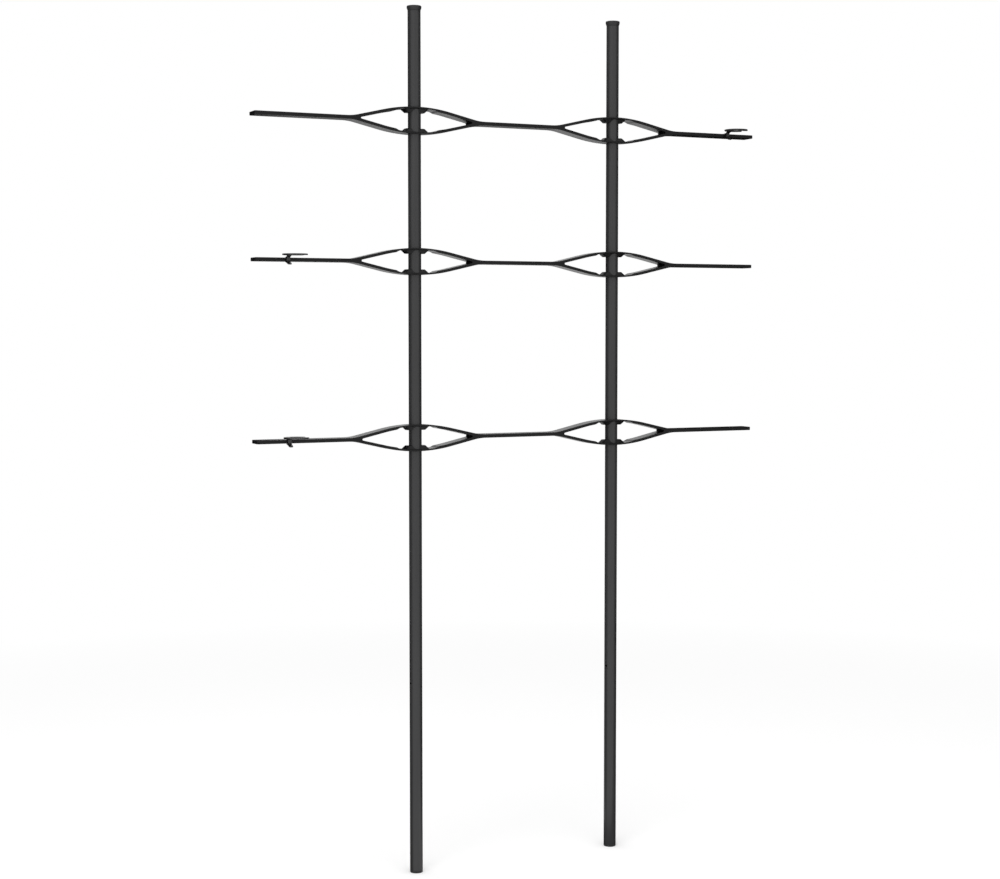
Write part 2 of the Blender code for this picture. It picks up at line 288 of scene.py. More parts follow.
@dataclass(frozen=True)
class Finish:
    """A surface finish, with what every finish of the trellis has."""

    name: str
    slot: str
    dark: Color
    light: Color
    roughness: tuple[float, float]
    specular: float

    def material(self) -> bpy.types.Material:
        """Make the finish's material, or fetch it if an earlier piece has made it.

        Returns:
            The material.
        """
        found = bpy.data.materials.get(self.name)
        if found:
            return found
        made, board = blank_material(self.name)
        shader = board.feed(board.add("ShaderNodeBsdfPrincipled"), Specular_IOR_Level=self.specular)
        self.paint(board, shader, board.add("ShaderNodeTexCoord").outputs["Object"])
        board.show(shader.outputs[0])
        return made

    def paint(self, board: NodeBoard, shader: Node, where: Socket) -> None:
        """Lay the finish's own pattern on the shader; each kind of finish has its own."""
        raise NotImplementedError


@dataclass(frozen=True)
class TubeCoat(Finish):
    """Satin powder coat on the posts: a fine orange peel, and cured specks in the colour."""

    along_tube: tuple[float, float, float] = (1.0, 1.0, 0.08)
    cloud: float = 90.0
    cloud_share: float = 0.6
    speck: float = 3200.0
    speck_share: float = 0.4
    speck_depth: float = 0.004 * MM
    rub: float = 240.0
    peel: float = 750.0
    peel_depth: float = 0.012 * MM

    def paint(self, board: NodeBoard, shader: Node, where: Socket) -> None:
        """Lay specks, cloudy tone and orange peel on the shader.

        Args:
            board: The material's node board.
            shader: Its Principled shader.
            where: Object coordinates in metres.
        """
        stretched = board.feed(board.add("ShaderNodeMapping"), Vector=where, Scale=self.along_tube)
        drawn = stretched.outputs["Vector"]
        cloud = board.spread(board.noise(drawn, self.cloud, detail=3.0), 0.0, self.cloud_share)
        speck = board.noise(where, self.speck)
        tone = board.maths("ADD", cloud, board.spread(speck, 0.0, self.speck_share))
        board.feed(shader, Base_Color=board.tint(tone, self.dark, self.light))
        rub = board.noise(drawn, self.rub, detail=4.0)
        board.feed(shader, Roughness=board.spread(rub, *self.roughness))
        peel = board.bump(board.noise(where, self.peel, detail=1.0), self.peel_depth)
        board.feed(shader, Normal=board.bump(speck, self.speck_depth, under=peel))


@dataclass(frozen=True)
class MouldedGrain(Finish):
    """Injection-moulded plastic: spark-eroded grain, faint flow marks, edges rubbed a little lighter."""

    grain: float = 2600.0
    coarse_grain: float = 650.0
    grain_depth: float = 0.014 * MM
    flow: tuple[float, float, float] = (0.06, 1.0, 1.0)
    flow_marks: float = 260.0
    rub: Color = (0.036, 0.036, 0.0367)
    rub_share: float = 0.5
    rub_span: tuple[float, float] = (0.52, 0.62)

    def paint(self, board: NodeBoard, shader: Node, where: Socket) -> None:
        """Lay grain, flow marks and rubbed edges on the shader.

        Args:
            board: The material's node board.
            shader: Its Principled shader.
            where: Object coordinates in metres.
        """
        along = board.feed(board.add("ShaderNodeMapping"), Vector=where, Scale=self.flow)
        marks = board.noise(along.outputs["Vector"], self.flow_marks, detail=3.0)
        tone = board.tint(board.spread(marks, 0.0, 1.0), self.dark, self.light)
        pointed = board.add("ShaderNodeNewGeometry").outputs["Pointiness"]
        edges = board.spread(pointed, 0.0, self.rub_share, self.rub_span)
        board.feed(shader, Base_Color=board.tint(edges, tone, self.rub))
        board.feed(shader, Roughness=board.spread(marks, *self.roughness))
        coarse = board.bump(board.noise(where, self.coarse_grain, detail=1.0), self.grain_depth)
        fine = board.bump(board.noise(where, self.grain), self.grain_depth, under=coarse)
        board.feed(shader, Normal=fine)


ANTHRACITE_COAT = TubeCoat(
    name="anthracite_powder_coat", slot="anthracite_tube",
    dark=(0.027, 0.027, 0.0277), light=(0.037, 0.037, 0.0379),
    roughness=(0.28, 0.36), specular=0.38,
)
CHARCOAL_MOULDING = MouldedGrain(
    name="charcoal_cap_moulding", slot="charcoal_closure",
    dark=(0.022, 0.022, 0.0225), light=(0.031, 0.031, 0.0316),
    roughness=(0.36, 0.46), specular=0.3, flow=(1.0, 1.0, 0.3),
)
BAR_MOULDING = MouldedGrain(
    name="black_bar_moulding", slot="black_bar",
    dark=(0.0055, 0.0055, 0.0057), light=(0.009, 0.009, 0.0092),
    roughness=(0.24, 0.32), specular=0.17,
)
CLIP_MOULDING = MouldedGrain(
    name="black_clip_moulding", slot="black_clip",
    dark=(0.0035, 0.0035, 0.0036), light=(0.006, 0.006, 0.0062),
    roughness=(0.26, 0.36), specular=0.7, flow=(1.0, 1.0, 1.0),
)


# Shapes


@dataclass(frozen=True)
class Corner:
    """A corner of an outline, and the arc that rounds it."""

    x: float
    y: float
    radius: float = 0.0
    steps: int = 6

    @property
    def point(self) -> Vector:
        """Where the corner would be without its arc."""
        return Vector((self.x, self.y))

    def drawn(self, towards: "Corner", distance: float) -> "Corner":
        """This corner, moved some way towards another one."""
        place = self.point + (towards.point - self.point).normalized() * distance
        return Corner(place.x, place.y, self.radius, self.steps)


def filleted(corners: Sequence[Corner]) -> Outline:
    """Round the corners of a closed outline.

    Args:
        corners: The corners in order, either way round.

    Returns:
        The points of the rounded outline.
    """
    points: Outline = []
    for index, corner in enumerate(corners):
        here = corner.point
        if not corner.radius:
            points.append(here)
            continue
        before = (corners[index - 1].point - here).normalized()
        after = (corners[(index + 1) % len(corners)].point - here).normalized()
        half = before.angle(after) / 2
        centre = here + (before + after).normalized() * (corner.radius / math.sin(half))
        start = here + before * (corner.radius / math.tan(half)) - centre
        end = here + after * (corner.radius / math.tan(half)) - centre
        turn = start.angle_signed(end)
        for step in range(corner.steps + 1):
            spoke = start.copy()
            spoke.rotate(Matrix.Rotation(-turn * step / corner.steps, 2))
            points.append(centre + spoke)
    return points


def stepped(start: float, end: float, steps: int) -> list[float]:
    """Even places from start on, the last of them one step before end."""
    return [start + (end - start) * step / steps for step in range(steps)]


def signed_area(outline: Outline) -> float:
    """Twice the outline's area, positive where it runs anticlockwise."""
    return sum(a.cross(b) for a, b in zip(outline, outline[1:] + outline[:1]))


def inset(outline: Outline, distance: float) -> Outline:
    """Move an outline to its left side, which is the material's side.

    Args:
        outline: Closed, anticlockwise round material or clockwise round a hole.
        distance: How far it moves.

    Returns:
        The moved outline.
    """
    shifted = []
    for index, here in enumerate(outline):
        came = (here - outline[index - 1]).normalized()
        goes = (outline[(index + 1) % len(outline)] - here).normalized()
        left = Vector((-came.y, came.x))
        next_left = Vector((-goes.y, goes.x))
        shifted.append(here + (left + next_left) * (distance / (1 + left.dot(next_left))))
    return shifted


def stitched(mesh: Solid, rings: Sequence[Sequence[Vert]]) -> None:
    """Join closed rings of equal length, each to the next, with quads.

    Args:
        mesh: The bmesh that holds the rings and gets the quads.
        rings: The rings in order.
    """
    for first, second in zip(rings, rings[1:]):
        for index in range(len(first)):
            following = (index + 1) % len(first)
            mesh.faces.new((first[index], first[following], second[following], second[index]))


def rounded_plate(outlines: Sequence[Outline], depth: float, rounding: float, steps: int = 4) -> Solid:
    """Make a plate with rounded edges from its outline and the outlines of its holes.

    Args:
        outlines: The plate's outline first, then its holes, all in the XY plane.
        depth: The plate's thickness, half to each side of the plane.
        rounding: The radius on the edges of both faces.
        steps: How many facets that radius has.

    Returns:
        The closed plate.
    """
    mesh = bmesh.new()
    fronts: list[list[Vert]] = []
    backs: list[list[Vert]] = []
    for index, outline in enumerate(outlines):
        if (signed_area(outline) > 0) != (index == 0):
            outline = outline[::-1]
        half = []
        for step in range(steps + 1):
            angle = QUARTER * step / steps
            half.append((rounding * (1 - math.sin(angle)), depth / 2 - rounding * (1 - math.cos(angle))))
        rings = []
        for shrink, height in half + [(shrink, -height) for shrink, height in reversed(half)]:
            rings.append([mesh.verts.new((p.x, p.y, height)) for p in inset(outline, shrink)])
        stitched(mesh, rings)
        fronts.append(rings[0])
        backs.append(rings[-1])
    for side in (fronts, backs):
        verts = [vert for ring in side for vert in ring]
        for triangle in tessellate_polygon([[vert.co for vert in ring] for ring in side]):
            mesh.faces.new([verts[index] for index in triangle])
    bmesh.ops.recalc_face_normals(mesh, faces=mesh.faces)
    return mesh


def turned(profile: Profile, segments: int) -> Solid:
    """Turn a profile about the Z axis.

    Args:
        profile: (radius, height) points. A profile that isn't closed starts and ends on the axis.
        segments: How many facets the turn has.

    Returns:
        The closed solid.
    """
    mesh = bmesh.new()
    closed = profile[0] == profile[-1]
    rings = []
    for radius, height in profile[:-1] if closed else profile[1:-1]:
        ring = []
        for index in range(segments):
            angle = 2 * math.pi * index / segments
            ring.append(mesh.verts.new((radius * math.cos(angle), radius * math.sin(angle), height)))
        rings.append(ring)
    if closed:
        rings.append(rings[0])
    else:
        mesh.faces.new(rings[0])
        mesh.faces.new(rings[-1][::-1])
    stitched(mesh, rings)
    bmesh.ops.recalc_face_normals(mesh, faces=mesh.faces)
    return mesh


def quarter_round(radius: float, height: float, bend: float, start: float, steps: int = 6) -> Profile:
    """Points of a quarter circle for a turned profile.

    Args:
        radius: The radius at which the circle's centre lies.
        height: The height of its centre.
        bend: Its own radius.
        start: The angle it starts at, from which it runs clockwise.
        steps: How many facets it has.

    Returns:
        The points.
    """
    angles = [start - QUARTER * step / steps for step in range(steps + 1)]
    return [(radius + bend * math.cos(angle), height + bend * math.sin(angle)) for angle in angles]


def baked(mesh: Solid, name: str) -> bpy.types.Mesh:
    """Turn a bmesh into a mesh of its own and free it.

    Args:
        mesh: The bmesh.
        name: The new mesh's name.

    Returns:
        The mesh.
    """
    made = bpy.data.meshes.new(name)
    mesh.to_mesh(made)
    mesh.free()
    return made


def moved(mesh: Solid, matrix: Matrix) -> Solid:
    """Move a bmesh by a matrix and hand it back."""
    bmesh.ops.transform(mesh, matrix=matrix, verts=mesh.verts)
    return mesh


def gathered(meshes: Sequence[Solid]) -> Solid:
    """Collect several separate solids in one bmesh.

    Args:
        meshes: The solids, which don't touch. They are freed.

    Returns:
        One bmesh with all of them.
    """
    collected = bmesh.new()
    for mesh in meshes:
        part = baked(mesh, "part")
        collected.from_mesh(part)
        bpy.data.meshes.remove(part)
    return collected


def combined(base: Solid, steps: Sequence[tuple[Join, Solid]]) -> Solid:
    """Unite solids with a base solid, or cut them out of it.

    Args:
        base: The solid to start from. It is freed.
        steps: What is done with each further solid, in order. They are freed.

    Returns:
        The resulting solid.
    """
    body = added("base", baked(base, "base"))
    tools = []
    for join, mesh in steps:
        tool = added("tool", baked(mesh, "tool"))
        tools.append(tool)
        modifier = body.modifiers.new(join.name, "BOOLEAN")
        modifier.operation = join.value
        modifier.object = tool
        modifier.solver = "EXACT"
    bpy.context.view_layer.update()
    graph = bpy.context.evaluated_depsgraph_get()
    result = bmesh.new()
    evaluated = body.evaluated_get(graph)
    result.from_mesh(evaluated.to_mesh())
    evaluated.to_mesh_clear()
    for obj in [body, *tools]:
        data = obj.data
        bpy.data.objects.remove(obj)
        bpy.data.meshes.remove(data)
    bmesh.ops.remove_doubles(result, verts=result.verts, dist=WELD)
    return result


# Pieces


@dataclass
class Piece:
    """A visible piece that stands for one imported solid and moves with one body."""

    node: str
    body: str
    finish: Finish
    sharp: float = math.radians(32)
    flat: float = 0.0

    def shape(self) -> Solid:
        """Make the piece's solid in place; each kind of piece has its own."""
        raise NotImplementedError

    def place(self) -> None:
        """Build the piece, dress it and hang it on its body."""
        solid = self.shape()
        if self.flat:
            bmesh.ops.dissolve_limit(solid, angle_limit=self.flat, verts=solid.verts, edges=solid.edges)
        mesh = baked(solid, self.node)
        mesh.shade_smooth()
        mesh.set_sharp_from_angle(angle=self.sharp)
        mesh.materials.append(self.finish.material())
        obj = added(f"{self.node}_finished", mesh)
        weighted = obj.modifiers.new("even_faces", "WEIGHTED_NORMAL")
        weighted.keep_sharp = True
        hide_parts(self.node)
        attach(obj, self.body)
        LOG.info("%s: %d faces, %s, on body %s", obj.name, len(mesh.polygons), self.finish.name, self.body)


# How far each post's hole faces round from the front, towards the left
HOLE_TURN = {Side.LEFT: math.radians(83), Side.RIGHT: math.radians(73.5)}


@dataclass
class Post(Piece):
    """An aluminium tube with one small hole low on its left side."""

    radius: float = 8.65 * MM
    wall: float = 1.2 * MM
    end_break: float = 0.2 * MM
    hole_radius: float = 1.9 * MM
    hole_rim: float = 0.25 * MM
    hole_height: float = 260.3 * MM
    hole_turn: float = HOLE_TURN[Side.LEFT]
    hole_segments: int = 32
    segments: int = 96

    @classmethod
    def on(cls, side: Side) -> "Post":
        """The post on one side, with its hole turned as on that side."""
        return cls(f"post_{side.value}", "posts", ANTHRACITE_COAT, hole_turn=HOLE_TURN[side])

    def shape(self) -> Solid:
        """Turn the tube with broken end edges, and drill its hole.

        Returns:
            The tube, in place.
        """
        low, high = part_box(self.node)
        inner = self.radius - self.wall
        cut = self.end_break
        profile = [
            (self.radius, high.z - cut), (self.radius, low.z + cut), (self.radius - cut, low.z),
            (inner, low.z), (inner, high.z), (self.radius - cut, high.z), (self.radius, high.z - cut),
        ]
        axis = Matrix.Translation(((low.x + high.x) / 2, 0, 0))
        tube = moved(turned(profile, self.segments), axis)
        deep = self.radius / 2
        drill = turned([
            (0, deep), (self.hole_radius + deep, deep), (self.hole_radius, -self.hole_rim),
            (self.hole_radius, -deep), (0, -deep),
        ], self.hole_segments)
        outwards = Vector((-math.sin(self.hole_turn), -math.cos(self.hole_turn), 0))
        aim = outwards.to_track_quat("Z", "Y").to_matrix().to_4x4()
        place = Matrix.Translation(outwards * self.radius + Vector((0, 0, self.hole_height)))
        return combined(tube, [(Join.DIFFERENCE, moved(drill, axis @ place @ aim))])


@dataclass
class TopCap(Piece):
    """A push-in cap with a rim wider than the tube, a cone down to it and a hollow spigot."""

    radius: float = 9.8 * MM
    rim: float = 3.5 * MM
    rim_break: float = 0.3 * MM
    rim_draft: float = 0.1 * MM
    cone: float = 3.0 * MM
    edge: float = 1.2 * MM
    crown: float = 0.25 * MM
    crown_steps: int = 6
    roof: float = 2.0 * MM
    tube: float = 8.65 * MM
    spigot: float = 7.15 * MM
    bore: float = 5.55 * MM
    spigot_length: float = 14 * MM
    lead: float = 0.6 * MM
    segments: int = 96

    @classmethod
    def on(cls, side: Side) -> "TopCap":
        """The cap on one post."""
        return cls(f"top_cap_{side.value}", "posts", CHARCOAL_MOULDING)

    def shape(self) -> Solid:
        """Turn the cap from its crowned top down.

        Returns:
            The cap, in place.
        """
        low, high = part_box(self.node)
        flat = self.radius - self.edge
        top = []
        for step in range(self.crown_steps + 1):
            reach = flat * step / self.crown_steps
            top.append((reach, -self.crown * (reach / flat) ** 2))
        seat = -self.rim - self.cone
        foot = seat - self.spigot_length
        profile = top + quarter_round(flat, -self.crown - self.edge, self.edge, QUARTER)[1:] + [
            (self.radius, -self.rim + self.rim_break), (self.radius - self.rim_draft, -self.rim),
            (self.tube, seat), (self.spigot, seat), (self.spigot, foot + self.lead),
            (self.spigot - self.lead, foot), (self.bore, foot), (self.bore, -self.roof), (0, -self.roof),
        ]
        return moved(turned(profile, self.segments), Matrix.Translation(((low.x + high.x) / 2, 0, high.z)))


@dataclass
class BottomPlug(Piece):
    """A push-in plug with a flange flush with the tube, flat underneath."""

    radius: float = 8.65 * MM
    flange: float = 2.5 * MM
    edge: float = 0.5 * MM
    spigot: float = 7.15 * MM
    bore: float = 5.55 * MM
    spigot_length: float = 14 * MM
    lead: float = 0.6 * MM
    segments: int = 96

    @classmethod
    def on(cls, side: Side) -> "BottomPlug":
        """The plug in one post."""
        return cls(f"bottom_plug_{side.value}", "posts", CHARCOAL_MOULDING)

    def shape(self) -> Solid:
        """Turn the plug from its hollow spigot down to its foot.

        Returns:
            The plug, in place.
        """
        low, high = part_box(self.node)
        head = self.flange + self.spigot_length
        profile = [
            (0, self.flange), (self.bore, self.flange), (self.bore, head), (self.spigot - self.lead, head),
            (self.spigot, head - self.lead), (self.spigot, self.flange), (self.radius, self.flange),
            *quarter_round(self.radius - self.edge, self.edge, self.edge, 0.0), (0, 0),
        ]
        return moved(turned(profile, self.segments), Matrix.Translation(((low.x + high.x) / 2, 0, low.z)))


@dataclass
class Eye:
    """The leaf-shaped eye of a crossbar in front view, its centre on the post's axis."""

    half_height: float = 17.9 * MM
    slope: float = math.radians(13)
    band: float = 3.95 * MM
    band_over_post: float = 2.3 * MM
    thin_half: float = 25.0 * MM
    thick_from: float = 31.5 * MM
    window_half: float = 79.8 * MM
    tip_radius: float = 1.3 * MM
    junction_radius: float = 70 * MM
    tip_steps: int = 6
    slope_steps: int = 5
    blend_steps: int = 8
    thin_steps: int = 14

    @property
    def apex(self) -> float:
        """Where the two inner band edges would meet without the rounded tip."""
        return self.window_half + self.tip_radius * (1 / math.sin(self.slope) - 1)

    @property
    def outer_peak(self) -> float:
        """Height over the post at which the two straight outer edges would meet."""
        return self.apex * math.tan(self.slope) + self.band / math.cos(self.slope)

    @property
    def crown_radius(self) -> float:
        """Radius of the outer arc over the post, tangent to both straight edges."""
        return (self.outer_peak - self.half_height) / (1 / math.cos(self.slope) - 1)

    def junction(self, arm_half: float) -> float:
        """Distance from the post at which the straight outer edge would meet the arm."""
        return (self.outer_peak - arm_half) / math.tan(self.slope)

    def window(self, centre: float) -> Outline:
        """The opening of the eye, with bands that thin smoothly over the post.

        Args:
            centre: The post's place along the crossbar.

        Returns:
            The opening's outline.
        """
        tip = self.apex - self.tip_radius / math.sin(self.slope)
        turn = QUARTER - self.slope
        quarter = []
        for step in range(self.tip_steps + 1):
            angle = turn * step / self.tip_steps
            across, up = self.tip_radius * math.cos(angle), self.tip_radius * math.sin(angle)
            quarter.append(Vector((tip + across, up)))
        thick = self.crown_radius - self.band
        thin = self.crown_radius - self.band_over_post
        middle = self.half_height - self.crown_radius
        start = thick * math.sin(self.slope)
        places = stepped(start, self.thick_from, self.slope_steps)
        places += stepped(self.thick_from, self.thin_half, self.blend_steps)
        places += [self.thin_half * (1 - step / self.thin_steps) for step in range(self.thin_steps + 1)]
        for place in places:
            share = min(max((self.thick_from - place) / (self.thick_from - self.thin_half), 0.0), 1.0)
            radius = thick + (thin - thick) * share * share * (3 - 2 * share)
            quarter.append(Vector((place, middle + math.sqrt(radius ** 2 - place ** 2))))
        upper = quarter + [Vector((-p.x, p.y)) for p in reversed(quarter[:-1])]
        lower = [Vector((p.x, -p.y)) for p in reversed(upper[1:-1])]
        return [Vector((p.x + centre, p.y)) for p in upper + lower]


@dataclass
class Collar:
    """The tapered collar that stands on a band inside the eye and grips the post."""

    root: tuple[float, float] = (18.5 * MM, 9.15 * MM)
    tip: tuple[float, float] = (13.4 * MM, 5.8 * MM)
    height: float = 5.25 * MM
    root_corner: float = 4.2 * MM
    tip_corner: float = 3.2 * MM
    flare: float = 0.7 * MM
    flare_spread: float = 0.8
    flare_steps: int = 4
    edge: float = 0.6 * MM
    edge_draw: float = 0.45
    edge_steps: int = 4
    lap: float = 0.02 * MM
    corner_steps: int = 8

    def ring(self, mesh: Solid, share: float, grow: float, height: float) -> list[Vert]:
        """Add one rounded rectangle of the taper.

        Args:
            mesh: The bmesh it goes in.
            share: 0 at the root and 1 at the tip.
            grow: How far it stands out over the straight taper.
            height: Its height.

        Returns:
            Its vertices in order.
        """
        half_x, half_y = (a + (b - a) * share + grow for a, b in zip(self.root, self.tip))
        bend = self.root_corner + (self.tip_corner - self.root_corner) * share + grow
        places = ((half_x, half_y), (-half_x, half_y), (-half_x, -half_y), (half_x, -half_y))
        outline = filleted([Corner(x, y, bend, self.corner_steps) for x, y in places])
        return [mesh.verts.new((p.x, p.y, height)) for p in outline]

    def solid(self, band_inside: float, band: float) -> Solid:
        """Loft the collar down from the upper band.

        Args:
            band_inside: Height of the band's inner face over the eye's centre.
            band: The band's thickness there.

        Returns:
            The collar of the upper band, at the eye's centre.
        """
        mesh = bmesh.new()
        spread = self.flare * self.flare_spread
        rings = [self.ring(mesh, 0.0, spread, band_inside + height) for height in (band / 2, self.lap)]
        for step in range(1, self.flare_steps + 1):
            share = step / self.flare_steps
            grow = spread * (1 - share) ** 2
            height = band_inside - share * self.flare
            rings.append(self.ring(mesh, share * self.flare / self.height, grow, height))
        for step in range(1, self.edge_steps + 1):
            angle = QUARTER * step / self.edge_steps
            drop = self.edge * (1 - math.sin(angle))
            grow = -self.edge * self.edge_draw * (1 - math.cos(angle))
            rings.append(self.ring(mesh, 1 - drop / self.height, grow, band_inside - self.height + drop))
        stitched(mesh, rings)
        mesh.faces.new(rings[0])
        mesh.faces.new(rings[-1][::-1])
        bmesh.ops.recalc_face_normals(mesh, faces=mesh.faces)
        return mesh


@dataclass
class Crossbar(Piece):
    """A moulded crossbar: flat arms, an eye round each post, collars inside the eyes."""

    flat: float = math.radians(0.1)
    length: float = 750 * MM
    spacing: float = 300 * MM
    depth: float = 22.4 * MM
    arm: float = 4.9 * MM
    rounding: float = 0.9 * MM
    end_corner: float = 0.9 * MM
    end_steps: int = 4
    junction_steps: int = 8
    crown_steps: int = 40
    bore_radius: float = 8.95 * MM
    bore_rim: float = 0.35 * MM
    bore_beyond: float = 4 * MM
    bore_segments: int = 96
    eye: Eye = field(default_factory=Eye)
    collar: Collar = field(default_factory=Collar)

    @classmethod
    def at(cls, level: Level) -> "Crossbar":
        """The crossbar at one level."""
        return cls(f"crossbar_{level.value}", f"crossbar_{level.value}", BAR_MOULDING)

    @property
    def centres(self) -> tuple[float, float]:
        """The places of the two posts along the crossbar."""
        return -self.spacing / 2, self.spacing / 2

    def outline(self) -> Outline:
        """The crossbar's outline in front view.

        Returns:
            The outline, its centre line on the X axis.
        """
        half = self.arm / 2
        reach = self.eye.junction(half)
        upper = [Corner(-self.length / 2, half, self.end_corner, self.end_steps)]
        for centre in self.centres:
            upper += [
                Corner(centre - reach, half, self.eye.junction_radius, self.junction_steps),
                Corner(centre, self.eye.outer_peak, self.eye.crown_radius, self.crown_steps),
                Corner(centre + reach, half, self.eye.junction_radius, self.junction_steps),
            ]
        upper.append(Corner(self.length / 2, half, self.end_corner, self.end_steps))
        return filleted(upper + [Corner(c.x, -c.y, c.radius, c.steps) for c in reversed(upper)])

    def bore(self) -> Solid:
        """The post's bore through an eye, with a broken edge at both mouths.

        Returns:
            The cutter, at the eye's centre.
        """
        mouth = self.eye.half_height - self.bore_rim
        top = mouth + self.bore_beyond
        profile = [(0, top), (self.bore_radius + self.bore_beyond, top), (self.bore_radius, mouth)]
        profile += [(radius, -height) for radius, height in reversed(profile)]
        return turned(profile, self.bore_segments)

    def shape(self) -> Solid:
        """Mould the bar, join its four collars to it and bore it for the posts.

        Returns:
            The crossbar, in place.
        """
        low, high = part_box(self.node)
        windows = [self.eye.window(centre) for centre in self.centres]
        bar = rounded_plate([self.outline(), *windows], self.depth, self.rounding)
        moved(bar, Matrix.Rotation(QUARTER, 4, "X"))
        collars, bores = [], []
        inside = self.eye.half_height - self.eye.band_over_post
        for centre in self.centres:
            at_post = Matrix.Translation((centre, 0, 0))
            for turn in (0.0, math.pi):
                collar = self.collar.solid(inside, self.eye.band_over_post)
                collars.append(moved(collar, at_post @ Matrix.Rotation(turn, 4, "X")))
            bores.append(moved(self.bore(), at_post))
        bar = combined(bar, [(Join.UNION, gathered(collars)), (Join.DIFFERENCE, gathered(bores))])
        return moved(bar, Matrix.Translation((0, 0, (low.z + high.z) / 2)))


@dataclass
class PlantClip(Piece):
    """A clip that grips the arm and holds a stem in a ring, whose mouth is on the right."""

    flat: float = math.radians(0.1)
    bar_depth: float = 22.4 * MM
    bar_height: float = 4.9 * MM
    gap: float = 0.3 * MM
    width: float = 5.0 * MM
    rounding: float = 0.15 * MM
    rounding_steps: int = 3
    jaw: float = 3.0 * MM
    jaw_root: float = 0.6 * MM
    jaw_tip: float = 0.35 * MM
    jaw_radius: float = 0.17 * MM
    jaw_steps: int = 3
    back_at_jaw: float = 1.6 * MM
    back_radius: float = 0.5 * MM
    back_steps: int = 4
    back_at_ring: float = 5.2 * MM
    front_at_ring: float = 11.5 * MM
    brow: Corner = Corner(6.6 * MM, 3.8 * MM, radius=2.0 * MM, steps=5)
    web_top: Corner = Corner(4.8 * MM, 2.6 * MM, radius=0.8 * MM, steps=5)
    web_bottom: Corner = Corner(4.8 * MM, -1.5 * MM, radius=1.0 * MM, steps=5)
    tab_front: Corner = Corner(5.7 * MM, -3.2 * MM, radius=1.0 * MM, steps=5)
    tab_tip: Corner = Corner(11.5 * MM, -5.9 * MM, radius=0.38 * MM)
    tab_end: Corner = Corner(10.5 * MM, -6.9 * MM, radius=0.38 * MM)
    tab_belly: Corner = Corner(1.2 * MM, -4.0 * MM, radius=1.2 * MM, steps=5)
    tab_corner: float = 1.5 * MM
    tab_corner_steps: int = 8
    underside: float = 5.0 * MM
    lap: float = 0.05 * MM
    ring_thickness: float = 1.8 * MM
    ring_radius: float = 16.49 * MM
    ring_hole: float = 8.8 * MM
    ring_offset: float = 3.4 * MM
    ring_reach: float = 20.5 * MM
    mouth: float = math.radians(42)
    mouth_turn: float = math.radians(3.5)
    mouth_corner: float = 1.8 * MM
    outer_lip_points: int = 4
    inner_lip_points: int = 6
    ring_rounding: float = 0.45 * MM
    ring_steps: int = 96

    @classmethod
    def at(cls, level: Level) -> "PlantClip":
        """The clip on one crossbar."""
        return cls(f"plant_clip_{level.value}", f"plant_clip_{level.value}", CLIP_MOULDING)

    def strap(self, short: float) -> Outline:
        """The strap's outline from the side: jaws round the bar, web, ring leg and finger tab.

        Args:
            short: How far the tab's end is drawn back along its two faces.

        Returns:
            The outline, as (forwards from the bar's front face, up).
        """
        reach = self.bar_height / 2 + self.gap
        # The corners at the ring lie a little inside it, because in its lower face they would leave slivers
        root = self.underside + self.lap
        middle = self.underside + self.ring_thickness / 2
        return filleted([
            Corner(-self.jaw, reach),
            Corner(-self.jaw, reach + self.jaw_tip, self.jaw_radius, self.jaw_steps),
            Corner(self.back_at_jaw, reach + self.jaw_root, self.back_radius, self.back_steps),
            Corner(self.back_at_ring, root),
            Corner(self.back_at_ring, middle),
            Corner(self.front_at_ring, middle),
            Corner(self.front_at_ring, root),
            self.brow,
            self.web_top,
            self.web_bottom,
            self.tab_front,
            self.tab_tip.drawn(self.tab_front, short),
            self.tab_end.drawn(self.tab_belly, short),
            self.tab_belly,
            Corner(-self.jaw, -reach - self.jaw_tip, self.jaw_radius, self.jaw_steps),
            Corner(-self.jaw, -reach),
            Corner(self.gap, -reach),
            Corner(self.gap, reach),
        ])

    def strap_solid(self) -> Solid:
        """Loft the strap across its width, with its edges broken and the tab's end rounded.

        Returns:
            The strap, flat in the XY plane.
        """
        half = self.width / 2
        stations = []
        for step in range(self.rounding_steps):
            angle = QUARTER * step / self.rounding_steps
            place = half - self.rounding * (1 - math.cos(angle))
            stations.append((place, self.rounding * (1 - math.sin(angle))))
        across = half - self.rounding
        for step in range(self.tab_corner_steps + 1):
            inwards = step / self.tab_corner_steps
            stations.append((across + (half - self.tab_corner - across) * inwards, 0.0))
        mesh = bmesh.new()
        rings = []
        for place, shrink in stations + [(-place, shrink) for place, shrink in reversed(stations)]:
            beyond = abs(place) - (half - self.tab_corner)
            short = self.tab_corner - math.sqrt(max(self.tab_corner ** 2 - beyond ** 2, 0.0))
            outline = self.strap(short)[::-1]
            rings.append([mesh.verts.new((p.x, p.y, place)) for p in inset(outline, shrink)])
        stitched(mesh, rings)
        for ring in (rings[0], rings[-1]):
            for triangle in tessellate_polygon([[vert.co for vert in ring]]):
                mesh.faces.new([ring[index] for index in triangle])
        bmesh.ops.recalc_face_normals(mesh, faces=mesh.faces)
        return mesh

    def ring(self) -> Outline:
        """The ring's outline from above: a broad C with rounded lips.

        Returns:
            The outline about the ring's own centre.
        """
        first = self.mouth_turn + self.mouth / 2
        sweep = 2 * math.pi - self.mouth
        lines = []
        edges = ((self.ring_radius, self.outer_lip_points), (self.ring_hole, self.inner_lip_points))
        for radius, lip in edges:
            line = []
            for step in range(self.ring_steps + 1):
                angle = first + sweep * step / self.ring_steps
                bend = self.mouth_corner if step in (0, self.ring_steps) else 0.0
                line.append(Corner(radius * math.cos(angle), radius * math.sin(angle), bend))
            lines.append([line[0], *line[lip:-lip], line[-1]])
        return filleted(lines[0] + lines[1][::-1])

